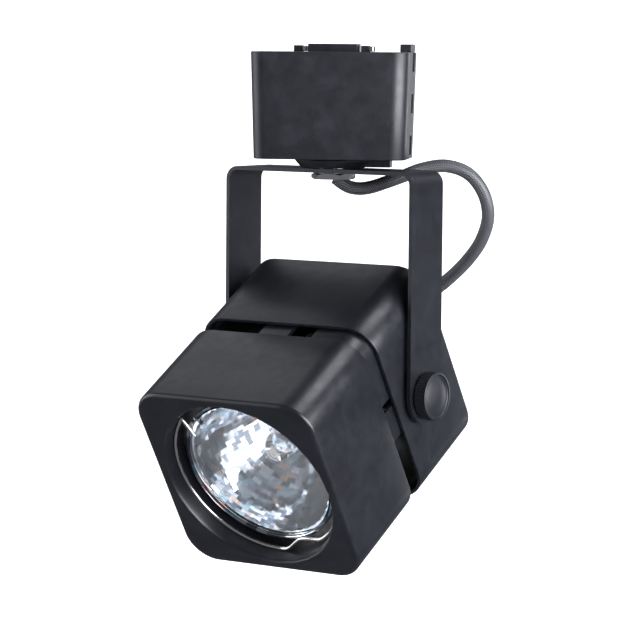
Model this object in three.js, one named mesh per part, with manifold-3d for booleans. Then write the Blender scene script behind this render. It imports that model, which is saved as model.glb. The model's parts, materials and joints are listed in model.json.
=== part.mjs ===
// Track spotlight: a lampholder box that hangs in a single-circuit track, a swivelling steel yoke,
// and a square two-shell head that holds a 50 mm reflector lamp.  Millimetres, +Z up.
// The origin is on the swivel axis, on the flat top of the track adapter; X runs along the track.

import * as THREE from 'three';
import Module from 'manifold-3d';
import { mergeVertices } from 'three/addons/utils/BufferGeometryUtils.js';

const wasm = await Module();
wasm.setup();

// ---------------------------------------------------------------- driving dimensions
const GAP = 0.3;                     // clearance kept between two separate pieces

const ADAPTER_WIDTH_TOP = 47.9;        // along the track
const ADAPTER_WIDTH_BOTTOM = 46;
const ADAPTER_DEPTH = 30;            // across the track
const ADAPTER_HEIGHT = 32.2;
const ADAPTER_CORNER = 4.6;
const ADAPTER_WALL = 2;
const SLOT_PITCH = 12.6;             // the three snap windows in each end
const SLOT_HEIGHT = 5.8;
const SLOT_DEPTH = 6;

const TURRET_RISE = 2.4;             // contact turret above the adapter's top
const TURRET_HALF = 12.4;            // reach of the turret's posts
const TURRET_HUB = 14.8;             // width of its middle block
const SLEEVE_RADIUS = 7.5;
const SLEEVE_BORE = 5.7;

const COLLAR_TOP_RADIUS = 11.7;      // tapered lock collar under the adapter
const COLLAR_FOOT_RADIUS = 10;
const LEVER_REACH = 17.6;
const LEVER_WIDTH = 6.5;
const LEVER_THICKNESS = 2.2;

const BAR_DROP = 35.2;               // adapter top to yoke top
const YOKE_SPAN = 68;                // over the outsides of the two arms
const YOKE_WIDTH = 17;               // strip width
const SHEET = 1.2;                   // yoke strip thickness
const YOKE_BEND = 4;                 // outer bend radius
const PIVOT_DROP = 67;               // yoke top to tilt axis
const YOKE_TURN = -27;               // swivel at rest, degrees about Z

const NIPPLE_RADIUS = 5;             // M10 x 1 hollow nipple
const NIPPLE_BORE = 3;
const NUT_FLATS = 12;
const NUT_HEIGHT = 1.8;

const HEAD_TILT = 31;                // light axis below the horizontal at rest, degrees
const HEAD_SIDE = 63;
const HEAD_CORNER = 9.5;
const HEAD_EDGE = 1.2;               // bend radius round the front and rear faces
const HEAD_RISE = 1;                 // head axis above the tilt axis
const SHELL_WALL = 1.2;
const SHELL_DEPTH = 33;
const REAR_FACE = -21.3;             // stations along the light axis, from the tilt axis
const REAR_RIM = REAR_FACE + SHELL_DEPTH;
const FRONT_RIM = REAR_RIM + 6;
const FRONT_FACE = FRONT_RIM + SHELL_DEPTH;

const OPENING_RADIUS = 28.7;
const LAMP_RADIUS = 25.2;            // 50 mm reflector lamp
const LAMP_RECESS = 6.7;             // lamp rim behind the front face
const CLIP_RADIUS = 27.6;
const CLIP_WIRE = 0.6;
const VENT_RING = 22;
const VENT_RADIUS = 3.2;
const VENTS = 8;
const COLLAR_DEPTH = 9.5;            // drawn-in tube behind the front opening

const LINING = HEAD_SIDE / 2 - SHELL_WALL - GAP;   // outer face of what lies against the head's walls
const STRAP = 1.2;                   // sheet of the inner bracket
const STRAP_HALF = 5.2;
const STRAP_OFFSET_TOP = -1.2;       // the straps sit a little off the head's centre lines
const STRAP_OFFSET_SIDE = -1.6;
const PLATE_STATION = -15;
const STRAP_END = 32;
const LINER_SHEET = 1;
const LINER_START = 12.5;
const SCREW_RADIUS = 1.45;           // M3
const SCREW_SPOTS = [[-15, 15], [15, -15]];

const GLAND_RADIUS = 4;
const GLAND_REACH = 7;               // gland tip behind the rear face

const KNOB_RADIUS = 7.25;
const KNOB_LENGTH = 4.6;
const STUD_RADIUS = 1.95;            // M4
const PIVOT_NUT_FLATS = 7;

const CORD_RADIUS = 2;
const CORD_STEPS = 34;
// Route of the cord in the yoke's own frame: x along the bar, y to the rear, z up from the bar's top.
const CORD_ROUTE = [
  [0.6, 0.2, -2.9], [2.3, 1, -4.3], [4.4, 2.1, -5.6], [7.2, 3.7, -6.1], [10.1, 5.7, -5.6], [13.4, 8.5, -4.2],
  [17, 12.1, -2.4], [21.6, 16.4, -0.1], [27.4, 20.4, 0.9], [33, 24.2, -1.3], [36.4, 27.4, -6.8],
  [36.8, 30.2, -14], [33.4, 32.4, -21.6], [26.8, 34.6, -28.8], [18, 36.4, -35.8], [11.2, 36.9, -40.4],
  [6, 36, -44], [2.6, 33.3, -46.6], [0.6, 28.9, -48.6], [0, 24.05, -51.4],
];

// ---------------------------------------------------------------- materials
const finish = (color, roughness, metalness = 0) =>
  () => new THREE.MeshStandardMaterial({ color, roughness, metalness });
const blackPaint = finish(0x17181b, 0.38, 0.2);
const blackPlastic = finish(0x1b1c1f, 0.5);
const nickel = finish(0xc9c6bf, 0.25, 1);
const steel = finish(0x77777a, 0.45, 1);
const brass = finish(0xb99a52, 0.35, 1);
const ceramic = finish(0xe9e4d8, 0.6);
const clearGlass = finish(0xdfe6ea, 0.05);
const mirrorGlass = finish(0xd4d6d8, 0.15, 0.9);
const whiteNylon = finish(0xd9d8d2, 0.55);
const braid = finish(0x141416, 0.8);
const redWire = finish(0x7a2a20, 0.5);
const blueWire = finish(0x2b4470, 0.5);

// ---------------------------------------------------------------- geometry helpers
function toSolid(source) {
  const bare = source.clone();
  bare.deleteAttribute('normal');
  bare.deleteAttribute('uv');
  const merged = mergeVertices(bare, 1e-4);
  return new wasm.Manifold(new wasm.Mesh({
    numProp: 3,
    vertProperties: new Float32Array(merged.attributes.position.array),
    triVerts: new Uint32Array(merged.index.array),
  }));
}

function toGeometry(solid) {
  const mesh = solid.getMesh();
  const result = new THREE.BufferGeometry();
  result.setAttribute('position', new THREE.BufferAttribute(mesh.vertProperties, 3));
  result.setIndex(new THREE.BufferAttribute(mesh.triVerts, 1));
  return result;
}

const join = (first, ...rest) => rest.reduce((sum, item) => sum.add(toSolid(item)), toSolid(first));
const cut = (solid, ...tools) => tools.reduce((left, item) => left.subtract(toSolid(item)), solid);

function block(x, y, z) {
  // x, y and z are [low, high] pairs
  const box = new THREE.BoxGeometry(x[1] - x[0], y[1] - y[0], z[1] - z[0]);
  return box.translate((x[0] + x[1]) / 2, (y[0] + y[1]) / 2, (z[0] + z[1]) / 2);
}

function roundedRect(width, height, radius) {
  const x = width / 2;
  const y = height / 2;
  const shape = new THREE.Shape();
  shape.moveTo(-x + radius, -y);
  shape.lineTo(x - radius, -y);
  shape.absarc(x - radius, -y + radius, radius, -Math.PI / 2, 0);
  shape.lineTo(x, y - radius);
  shape.absarc(x - radius, y - radius, radius, 0, Math.PI / 2);
  shape.lineTo(-x + radius, y);
  shape.absarc(-x + radius, y - radius, radius, Math.PI / 2, Math.PI);
  shape.lineTo(-x, -y + radius);
  shape.absarc(-x + radius, -y + radius, radius, Math.PI, Math.PI * 1.5);
  return shape;
}

function prism(shape, low, high, curveSegments = 6) {
  const solid = new THREE.ExtrudeGeometry(shape, {
    depth: high - low, bevelEnabled: false, curveSegments,
  });
  return solid.translate(0, 0, low);
}

function ring(outer, inner, low, high, segments = 20) {
  // a round piece about Z; inner 0 makes a solid disc
  const profile = [[inner, low], [outer, low], [outer, high], [inner, high], [inner, low]];
  return turned(profile, segments);
}

function turned(profile, segments = 24) {
  // profile points are [radius, station along Z]
  const points = profile.map(([radius, station]) => new THREE.Vector2(radius, station));
  return new THREE.LatheGeometry(points, segments).rotateX(Math.PI / 2);
}

function hexNut(flats, bore, low, high) {
  const corner = flats / 2 / Math.cos(Math.PI / 6);
  const body = turned([[0, low], [corner, low], [corner, high], [0, high]], 6);
  return cut(toSolid(body), ring(bore, 0, low - 1, high + 1, 20));
}

function sweep(points, radius, steps, sides = 8) {
  const section = new THREE.Shape();
  for (let i = 0; i < sides; i += 1) {
    const angle = (2 * Math.PI * i) / sides;
    const x = radius * Math.cos(angle);
    const y = radius * Math.sin(angle);
    if (i === 0) section.moveTo(x, y); else section.lineTo(x, y);
  }
  section.closePath();
  const places = points.map(([x, y, z]) => new THREE.Vector3(x, y, z));
  const path = new THREE.CatmullRomCurve3(places, false, 'centripetal');
  return new THREE.ExtrudeGeometry(section, { extrudePath: path, steps, bevelEnabled: false });
}

function node(parent, name, shape, material) {
  const geometry = shape.isBufferGeometry ? shape : toGeometry(shape);
  const mesh = new THREE.Mesh(geometry, material());
  mesh.name = name;
  parent.add(mesh);
  return mesh;
}

// Turns a piece drawn along +Z so that it runs forward, along the head's light axis (-Y).
const forward = (geometry) => geometry.rotateX(Math.PI / 2);
// Turns a piece drawn along +Z so that it runs outward along +X.
const sideways = (geometry) => geometry.rotateY(Math.PI / 2);

// ---------------------------------------------------------------- groups
const spotlight = new THREE.Group();
const adapter = new THREE.Group();
const lock = new THREE.Group();
const yoke = new THREE.Group();
const head = new THREE.Group();
spotlight.add(adapter, lock, yoke);
yoke.add(head);
yoke.position.z = -BAR_DROP;
yoke.rotation.z = THREE.MathUtils.degToRad(YOKE_TURN);
head.position.z = -PIVOT_DROP;
head.rotation.x = THREE.MathUtils.degToRad(HEAD_TILT);

// ---------------------------------------------------------------- track adapter
function taperedBox(inset, low, high) {
  // the adapter's outline, a little narrower at the bottom
  const width = ADAPTER_WIDTH_TOP - 2 * inset;
  const taper = (ADAPTER_WIDTH_BOTTOM - 2 * inset) / width;
  const box = prism(roundedRect(width, ADAPTER_DEPTH - 2 * inset, ADAPTER_CORNER - inset * 0.8), low, high);
  const place = box.attributes.position;
  for (let i = 0; i < place.count; i += 1) {
    const share = 1 + (taper - 1) * (-place.getZ(i) / ADAPTER_HEIGHT);
    place.setXY(i, place.getX(i) * share, place.getY(i) * share);
  }
  return box;
}

const adapterBottom = -ADAPTER_HEIGHT;
const casing = cut(
  toSolid(taperedBox(0, adapterBottom, 0)),
  taperedBox(ADAPTER_WALL, adapterBottom + ADAPTER_WALL, -ADAPTER_WALL),
  ring(TURRET_HALF + 0.6, 0, -ADAPTER_WALL - 1, 1),
  ring(SLEEVE_RADIUS + GAP, 0, adapterBottom - 1, adapterBottom + ADAPTER_WALL + 1),
);
const frontSide = toSolid(block([-40, 40], [-40, -GAP / 2], [-60, 20]));
const backSide = toSolid(block([-40, 40], [GAP / 2, 40], [-60, 20]));

node(adapter, 'adapter_front_shell', casing.intersect(frontSide), blackPlastic);

let backShell = casing.intersect(backSide);
for (const side of [-1, 1]) {
  for (let row = 0; row < 3; row += 1) {
    const top = row === 0 ? 1 : -row * SLOT_PITCH;
    const floor = -row * SLOT_PITCH - SLOT_HEIGHT;
    const inner = ADAPTER_WIDTH_BOTTOM / 2 - ADAPTER_WALL - 1;
    const slot = block([inner, 40], [-1, SLOT_DEPTH], [floor, top]);
    if (side < 0) slot.rotateZ(Math.PI).translate(0, SLOT_DEPTH - 1, 0);
    backShell = cut(backShell, slot);
  }
}
node(adapter, 'adapter_back_shell', backShell, blackPlastic);

// spring tongues of the front shell's snap fit, one comb at each end, seen in the windows
for (const [side, label] of [[1, 'right'], [-1, 'left']]) {
  const inner = ADAPTER_WIDTH_BOTTOM / 2 - ADAPTER_WALL - 2.2;
  const comb = block([inner - 1.2, inner], [1, SLOT_DEPTH - 0.5], [adapterBottom + 4, -4]);
  const teeth = [];
  for (let row = 0; row < 3; row += 1) {
    const middle = -row * SLOT_PITCH - SLOT_HEIGHT / 2 - (row === 0 ? 1.2 : 0);
    teeth.push(block([inner - 0.5, inner + 1.6], [1.4, SLOT_DEPTH - 1.2], [middle - 1.4, middle + 1.4]));
  }
  let solid = join(comb, ...teeth);
  if (side < 0) solid = solid.mirror([1, 0, 0]);
  node(adapter, `snap_comb_${label}`, solid, blackPlastic);
}

// a tab that stands on both shells and bridges the top window
const keyEnd = ADAPTER_WIDTH_TOP / 2 - 0.1;
node(adapter, 'polarity_key', block([keyEnd - 3.5, keyEnd], [-4, 7.4], [0.05, TURRET_RISE]), blackPlastic);
const bushFoot = adapterBottom + ADAPTER_WALL + GAP;
const bush = ring(SLEEVE_RADIUS + 2.4, SLEEVE_RADIUS + GAP, bushFoot, bushFoot + 4.7);
node(adapter, 'swivel_bush', bush, whiteNylon);
node(adapter, 'earth_leaf', join(
  block([14, 14.6], [-4, 4], [-26, -3]),
  block([14, 16.2], [-4, 4], [-3.4, -2.8]),
), brass);

// ---------------------------------------------------------------- lock: collar, sleeve, turret and contacts
const collarTop = adapterBottom - GAP;
const collarFoot = -BAR_DROP + GAP;   // just short of the yoke
const collar = join(
  turned([
    [SLEEVE_BORE, collarFoot], [COLLAR_FOOT_RADIUS, collarFoot],
    [COLLAR_TOP_RADIUS, collarTop - 0.4], [COLLAR_TOP_RADIUS, collarTop],
    [SLEEVE_RADIUS, collarTop], [SLEEVE_RADIUS, -5], [SLEEVE_BORE, -5], [SLEEVE_BORE, collarFoot],
  ], 28),
  block(
    [COLLAR_FOOT_RADIUS - 2, LEVER_REACH],
    [-LEVER_WIDTH / 2, LEVER_WIDTH / 2],
    [collarTop - LEVER_THICKNESS, collarTop],
  ),
);
node(lock, 'lock_collar', collar, blackPlastic);

const postInner = TURRET_HALF - 4;
const turret = join(
  ring(TURRET_HALF, 0, -4.6, -0.2),
  block([-TURRET_HUB / 2, TURRET_HUB / 2], [-5, 5], [-1, TURRET_RISE]),
  block([-TURRET_HALF + 0.4, -TURRET_HALF + 2.6], [-3, 3], [-1, 1.9]),
  block([postInner, postInner + 2.2], [-3, 3], [-1, 1.9]),
);
node(lock, 'contact_turret', turret, blackPlastic);
for (const [x, label] of [[-TURRET_HALF + 2.9, 'live'], [postInner + 2.5, 'neutral']]) {
  node(lock, `${label}_contact`, block([x, x + 1.3], [-2.6, 2.6], [0.1, 1.7]), nickel);
}

// ---------------------------------------------------------------- yoke, nipple and nuts
const armInner = YOKE_SPAN / 2 - SHEET;
const innerBend = YOKE_BEND - SHEET;
const outline = new THREE.Shape();
const footZ = -PIVOT_DROP - YOKE_WIDTH / 2 - 1;
outline.moveTo(-YOKE_SPAN / 2, footZ);
outline.lineTo(-YOKE_SPAN / 2, -YOKE_BEND);
outline.absarc(-YOKE_SPAN / 2 + YOKE_BEND, -YOKE_BEND, YOKE_BEND, Math.PI, Math.PI / 2, true);
outline.lineTo(YOKE_SPAN / 2 - YOKE_BEND, 0);
outline.absarc(YOKE_SPAN / 2 - YOKE_BEND, -YOKE_BEND, YOKE_BEND, Math.PI / 2, 0, true);
outline.lineTo(YOKE_SPAN / 2, footZ);
outline.lineTo(armInner, footZ);
outline.lineTo(armInner, -YOKE_BEND);
outline.absarc(armInner - innerBend, -YOKE_BEND, innerBend, 0, Math.PI / 2);
outline.lineTo(-armInner + innerBend, -SHEET);
outline.absarc(-armInner + innerBend, -YOKE_BEND, innerBend, Math.PI / 2, Math.PI);
outline.lineTo(-armInner, footZ);
const strip = forward(prism(outline, -YOKE_WIDTH / 2, YOKE_WIDTH / 2, 4));

// side view of an arm: straight sides and a full round end about the tilt axis
const armSide = new THREE.Shape();
armSide.moveTo(-5, -YOKE_WIDTH / 2);
armSide.lineTo(PIVOT_DROP, -YOKE_WIDTH / 2);
armSide.absarc(PIVOT_DROP, 0, YOKE_WIDTH / 2, -Math.PI / 2, Math.PI / 2);
armSide.lineTo(-5, YOKE_WIDTH / 2);
const armMask = sideways(prism(armSide, -YOKE_SPAN, YOKE_SPAN, 12));
const pivotHole = () => {
  const bore = sideways(ring(STUD_RADIUS + 0.4, 0, -YOKE_SPAN, YOKE_SPAN, 16));
  return bore.translate(0, 0, -PIVOT_DROP);
};
node(yoke, 'yoke', cut(
  toSolid(strip).intersect(toSolid(armMask)),
  pivotHole(),
  ring(NIPPLE_RADIUS + GAP, 0, -5, 5, 20),
), blackPaint);

const nutTop = -SHEET - GAP;
const nippleTop = 18;
const nippleFoot = nutTop - NUT_HEIGHT + 1.2;
node(yoke, 'swivel_nipple', ring(NIPPLE_RADIUS, NIPPLE_BORE, nippleFoot, nippleTop, 20), steel);
node(yoke, 'cord_bush', ring(NIPPLE_BORE - GAP, 2.1, nippleFoot + 2, nippleFoot + 11, 24), blackPlastic);
node(yoke, 'nipple_nut', toGeometry(hexNut(NUT_FLATS, NIPPLE_RADIUS + GAP, nutTop - NUT_HEIGHT, nutTop))
  .rotateZ(0.35), nickel);
node(yoke, 'retaining_ring', ring(NIPPLE_RADIUS + 0.5, NIPPLE_RADIUS + 0.1, 12, 13.2, 20), steel);

// ---------------------------------------------------------------- head shells
const headShape = (inset) => roundedRect(HEAD_SIDE - 2 * inset, HEAD_SIDE - 2 * inset, HEAD_CORNER - inset);
const onHeadAxis = (geometry) => geometry.translate(0, 0, HEAD_RISE);

function headBlock(low, high) {
  // full outer form with its small bend radius on the faces at both ends
  const bevelled = new THREE.ExtrudeGeometry(headShape(HEAD_EDGE), {
    depth: high - low - 2 * HEAD_EDGE, bevelEnabled: true, bevelThickness: HEAD_EDGE, bevelSize: HEAD_EDGE,
    bevelSegments: 2, curveSegments: 6,
  });
  return onHeadAxis(forward(bevelled.translate(0, 0, low + HEAD_EDGE)));
}
const headPrism = (inset, low, high) => onHeadAxis(forward(prism(headShape(inset), low, high, 6)));
const headRing = (outer, bore, low, high, segments = 32) =>
  onHeadAxis(forward(ring(outer, bore, low, high, segments)));
const headTurned = (profile, segments = 28) => onHeadAxis(forward(turned(profile, segments)));
// a box given by its sideways span, its span above the head axis and its stations along the light axis
const headBox = (x, up, along) => block(x, [-along[1], -along[0]], [up[0] + HEAD_RISE, up[1] + HEAD_RISE]);

const throat = headRing(
  OPENING_RADIUS + 1, OPENING_RADIUS - 0.5, FRONT_FACE - COLLAR_DEPTH, FRONT_FACE - 0.4,
);
// what is taken out for the mouth: a straight bore that flares a little where it meets the face
const mouth = headTurned([
  [0, FRONT_FACE - 20], [OPENING_RADIUS - 0.3, FRONT_FACE - 20], [OPENING_RADIUS - 0.3, FRONT_FACE - 1.6],
  [OPENING_RADIUS, FRONT_FACE - 0.6], [OPENING_RADIUS + 0.7, FRONT_FACE + 0.1],
  [OPENING_RADIUS + 0.7, FRONT_FACE + 2], [0, FRONT_FACE + 2],
], 32);
const frontShell = cut(
  toSolid(headBlock(FRONT_RIM - 6, FRONT_FACE)),
  headPrism(SHELL_WALL, FRONT_RIM - 8, FRONT_FACE - SHELL_WALL),
  headPrism(-2, FRONT_RIM - 8, FRONT_RIM),
).add(toSolid(throat)).subtract(toSolid(mouth));
node(head, 'front_shell', frontShell, blackPaint);

const vents = [];
for (let i = 0; i < VENTS; i += 1) {
  const angle = (2 * Math.PI * i) / VENTS;
  const vent = ring(VENT_RADIUS, 0, REAR_FACE - 3, REAR_FACE + 4, 12)
    .translate(VENT_RING * Math.cos(angle), VENT_RING * Math.sin(angle), 0);
  vents.push(onHeadAxis(forward(vent)));
}
const studHole = () => sideways(ring(STUD_RADIUS + 0.6, 0, -YOKE_SPAN, YOKE_SPAN, 16));
const screwHole = ([x, up]) => onHeadAxis(forward(ring(1.8, 0, REAR_FACE - 3, -8, 16).translate(x, up, 0)));
node(head, 'rear_shell', cut(
  toSolid(headBlock(REAR_FACE, REAR_RIM + 6)),
  headPrism(SHELL_WALL, REAR_FACE + SHELL_WALL, REAR_RIM + 8),
  headPrism(-2, REAR_RIM, REAR_RIM + 8),
  ...vents,
  headRing(GLAND_RADIUS + GAP, 0, REAR_FACE - 3, REAR_FACE + 4, 20),
  studHole(),
  ...SCREW_SPOTS.map(screwHole),
), blackPaint);

// ---------------------------------------------------------------- inner bracket and liners
const topStrap = [STRAP_OFFSET_TOP - STRAP_HALF, STRAP_OFFSET_TOP + STRAP_HALF];
const sideStrap = [STRAP_OFFSET_SIDE - STRAP_HALF, STRAP_OFFSET_SIDE + STRAP_HALF];
const plate = [PLATE_STATION, PLATE_STATION + STRAP];
node(head, 'inner_bracket', cut(
  join(
    headBox([-LINING, LINING], sideStrap, plate),
    headBox(topStrap, [-LINING, LINING], plate),
    headBox([-19, 19], [-19, 19], plate),
    headBox([LINING - STRAP, LINING], sideStrap, [PLATE_STATION, STRAP_END]),
    headBox([-LINING, -LINING + STRAP], sideStrap, [PLATE_STATION, STRAP_END]),
    headBox(topStrap, [LINING - STRAP, LINING], [PLATE_STATION, STRAP_END]),
    headBox(topStrap, [-LINING, -LINING + STRAP], [PLATE_STATION, STRAP_END]),
  ),
  headRing(5, 0, -20, -10, 24),
  studHole(),
  ...SCREW_SPOTS.map(screwHole),
), blackPaint);

function cornerLiner(turn, sideEdge) {
  // an L plate that wraps one rounded corner of the head, just inside the walls
  const corner = HEAD_CORNER - SHELL_WALL - GAP;
  const shape = new THREE.Shape();
  shape.moveTo(LINER_START, LINING);
  shape.lineTo(LINING - corner, LINING);
  shape.absarc(LINING - corner, LINING - corner, corner, Math.PI / 2, 0, true);
  shape.lineTo(LINING, sideEdge);
  shape.lineTo(LINING - LINER_SHEET, sideEdge);
  shape.lineTo(LINING - LINER_SHEET, LINING - corner);
  shape.absarc(LINING - corner, LINING - corner, corner - LINER_SHEET, 0, Math.PI / 2);
  shape.lineTo(LINER_START, LINING - LINER_SHEET);
  return onHeadAxis(forward(prism(shape, 2, 27, 8).rotateZ(turn)));
}
node(head, 'corner_liner_upper', cornerLiner(0, 6.3), blackPaint);
node(head, 'corner_liner_lower', cornerLiner(Math.PI, 8.5), blackPaint);

for (const [index, [x, up]] of SCREW_SPOTS.entries()) {
  const drawn = (geometry) => onHeadAxis(forward(geometry.translate(x, up, 0)));
  node(head, `bracket_spacer_${index + 1}`,
    drawn(ring(3, 1.9, REAR_FACE + SHELL_WALL + GAP, PLATE_STATION - GAP, 20)), steel);
  node(head, `bracket_screw_${index + 1}`, drawn(turned([
    [0, REAR_FACE - 1.9], [1.6, REAR_FACE - 1.8], [2.8, REAR_FACE - 1], [2.9, REAR_FACE - GAP],
    [SCREW_RADIUS, REAR_FACE - GAP], [SCREW_RADIUS, -10], [0, -10],
  ], 20)), steel);
}

// ---------------------------------------------------------------- lamp, lampholder and clip
const lampRim = FRONT_FACE - LAMP_RECESS;
node(head, 'lamp_seat_ring', headRing(OPENING_RADIUS + 0.6, 24, FRONT_FACE - COLLAR_DEPTH - 1.3,
  FRONT_FACE - COLLAR_DEPTH - GAP), steel);

node(head, 'lamp_reflector', headTurned([
  [8, lampRim - 27], [9.5, lampRim - 24], [13.4, lampRim - 19.5], [18, lampRim - 13.5], [21.8, lampRim - 7.5],
  [23.6, lampRim - 3.2], [LAMP_RADIUS, lampRim - 2.2], [LAMP_RADIUS, lampRim],
  [24.2, lampRim], [24.2, lampRim - 1.9], [22.6, lampRim - 1.9], [20.7, lampRim - 7.6],
  [17, lampRim - 13.2], [12.4, lampRim - 18.8], [8.6, lampRim - 22.8], [5.4, lampRim - 25],
  [5.4, lampRim - 27], [8, lampRim - 27],
]), mirrorGlass);
node(head, 'lamp_front_glass', headTurned([
  [0, lampRim - 1.6], [23.9, lampRim - 1.6], [23.9, lampRim - 0.5], [23.3, lampRim - 0.1], [0, lampRim - 0.1],
]), clearGlass);
node(head, 'lamp_capsule', headTurned([
  [0, lampRim - 26.6], [4.4, lampRim - 26.6], [4.4, lampRim - 12], [3.4, lampRim - 9.6], [1, lampRim - 8.4],
  [0, lampRim - 8.2],
], 24), clearGlass);
const baseTop = lampRim - 27 - GAP;
const baseFoot = lampRim - 45;
node(head, 'lamp_base', headTurned([
  [0, baseTop], [7.8, baseTop], [9.4, baseTop - 5], [9.4, baseFoot], [0, baseFoot],
].reverse(), 20), ceramic);

const holderFace = baseFoot - GAP;
const holderBack = PLATE_STATION + STRAP + GAP;
const pinSpots = [-5, 5];
const pinTip = baseFoot - 6.5;
const pinSocket = (x) => onHeadAxis(forward(ring(2.9, 0, pinTip - 1, holderFace + 2, 20).translate(x, 0, 0)));
node(head, 'lampholder', cut(
  toSolid(headBox([-13, 13], [-9, 9], [holderBack, holderFace])),
  ...pinSpots.map(pinSocket),
), ceramic);
for (const [index, x] of pinSpots.entries()) {
  node(head, `lamp_pin_${index + 1}`, onHeadAxis(forward(turned([
    [0, pinTip], [2.4, pinTip], [2.4, pinTip + 1.8], [1.5, pinTip + 1.8], [1.5, baseFoot - GAP],
    [0, baseFoot - GAP],
  ], 20).translate(x, 0, 0))), nickel);
}

const clipStation = FRONT_FACE - 5;
function clipPoint(radius, degrees) {
  const angle = THREE.MathUtils.degToRad(degrees);
  return [radius * Math.cos(angle), -clipStation, radius * Math.sin(angle) + HEAD_RISE];
}
const flat = (x, up) => [x, -clipStation, up + HEAD_RISE];
const clipPath = [flat(-17.5, 13), flat(-18.7, 16.2), flat(-20.2, 19)];
for (let degrees = 141; degrees <= 271; degrees += 10) clipPath.push(clipPoint(CLIP_RADIUS, degrees));
clipPath.push(flat(2.6, -27), flat(7.9, -23), flat(9.3, -22.6), flat(15.2, -22.2), flat(16.6, -21.6));
for (let degrees = 316; degrees <= 456; degrees += 10) clipPath.push(clipPoint(CLIP_RADIUS, degrees));
node(head, 'lamp_clip', sweep(clipPath, CLIP_WIRE, 60, 6), nickel);

// ---------------------------------------------------------------- cord gland and leads inside the head
const glandTip = REAR_FACE - GLAND_REACH;
node(head, 'cord_gland', headTurned([
  [2.4, glandTip], [3.6, glandTip], [4.6, glandTip + 3], [6, REAR_FACE - 2.4], [6, REAR_FACE - GAP],
  [GLAND_RADIUS, REAR_FACE - GAP], [GLAND_RADIUS, REAR_FACE + 4.2], [2.4, REAR_FACE + 4.2], [2.4, glandTip],
], 20), blackPlastic);
node(head, 'gland_nut', onHeadAxis(forward(toGeometry(
  hexNut(11, GLAND_RADIUS + GAP, REAR_FACE + SHELL_WALL + GAP, REAR_FACE + 3.8)))), steel);
for (const [label, x, material] of [['live', -1.2, redWire], ['neutral', 1.2, blueWire]]) {
  const wire = ring(0.7, 0, REAR_FACE + 0.5, holderBack - GAP, 8).translate(x, 0, 0);
  node(head, `${label}_lead`, onHeadAxis(forward(wire)), material);
}

// ---------------------------------------------------------------- tilt pivots and clamp knobs
const knobs = new THREE.Group();
knobs.position.z = -PIVOT_DROP;
yoke.add(knobs);
for (const [side, label] of [[1, 'right'], [-1, 'left']]) {
  const outward = (geometry) => {
    const piece = sideways(geometry);
    return side > 0 ? piece : piece.rotateZ(Math.PI);
  };
  const armFace = YOKE_SPAN / 2 + GAP;
  const capFace = armFace + KNOB_LENGTH;
  node(knobs, `knob_${label}`, outward(turned([
    [STUD_RADIUS + GAP, armFace], [KNOB_RADIUS - 0.5, armFace], [KNOB_RADIUS, armFace + 0.5],
    [KNOB_RADIUS, capFace - 0.6], [KNOB_RADIUS - 0.5, capFace - 0.1], [KNOB_RADIUS - 1.1, capFace],
    [KNOB_RADIUS - 1.4, capFace - 0.4], [0, capFace - 0.2], [0, capFace - 1.8],
    [STUD_RADIUS + GAP, capFace - 1.8], [STUD_RADIUS + GAP, armFace],
  ])), blackPlastic);
  node(knobs, `knob_stud_${label}`, outward(ring(STUD_RADIUS, 0, 22, capFace - 2.1, 20)), steel);
  const washerFace = YOKE_SPAN / 2 - SHEET - GAP;
  const washer = outward(ring(6, STUD_RADIUS + 0.4, washerFace - 0.4, washerFace, 20));
  node(yoke, `pivot_washer_${label}`, washer.translate(0, 0, -PIVOT_DROP), whiteNylon);
  node(head, `pivot_nut_${label}`,
    outward(toGeometry(hexNut(PIVOT_NUT_FLATS, STUD_RADIUS + GAP, 24.6, LINING - STRAP - GAP))), steel);
}

// ---------------------------------------------------------------- cord from the nipple to the head
node(yoke, 'cord', sweep(CORD_ROUTE, CORD_RADIUS, CORD_STEPS, 8), braid);

export default spotlight;
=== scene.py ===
"""The looks of the track spotlight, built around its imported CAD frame.

Pieces are drawn in millimetres in the frame of the body that they belong to (adapter, yoke or head),
and then placed in the row frame, in metres, by that body's matrix.
"""

import json
import math
import random

import bmesh
import bpy
import numpy as np
from mathutils import Matrix, Vector


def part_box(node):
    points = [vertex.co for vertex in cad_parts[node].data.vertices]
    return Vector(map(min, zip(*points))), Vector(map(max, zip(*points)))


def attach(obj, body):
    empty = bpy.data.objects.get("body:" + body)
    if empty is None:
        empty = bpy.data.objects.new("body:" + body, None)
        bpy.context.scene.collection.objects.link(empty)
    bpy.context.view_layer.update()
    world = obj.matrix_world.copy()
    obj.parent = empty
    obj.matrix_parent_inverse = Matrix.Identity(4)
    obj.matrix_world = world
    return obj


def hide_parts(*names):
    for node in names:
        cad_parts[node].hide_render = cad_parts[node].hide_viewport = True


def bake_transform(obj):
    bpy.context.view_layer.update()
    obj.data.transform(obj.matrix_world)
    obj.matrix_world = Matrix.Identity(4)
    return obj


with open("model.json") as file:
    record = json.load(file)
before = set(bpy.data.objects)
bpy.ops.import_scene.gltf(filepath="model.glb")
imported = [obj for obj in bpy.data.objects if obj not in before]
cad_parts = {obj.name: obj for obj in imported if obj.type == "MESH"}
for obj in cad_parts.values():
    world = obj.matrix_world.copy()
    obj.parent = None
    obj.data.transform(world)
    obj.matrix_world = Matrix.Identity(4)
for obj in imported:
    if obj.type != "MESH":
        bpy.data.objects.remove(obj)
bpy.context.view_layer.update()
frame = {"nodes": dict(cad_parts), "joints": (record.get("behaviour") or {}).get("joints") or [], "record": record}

MM = 0.001
GAP = 0.3
rng = random.Random(7)
TO_FRONT = Matrix.Rotation(math.pi / 2, 4, "X")      # turns a piece drawn along Z to the front
TO_SIDE = Matrix.Rotation(math.pi / 2, 4, "Y")       # turns a piece drawn along Z to the right

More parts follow.
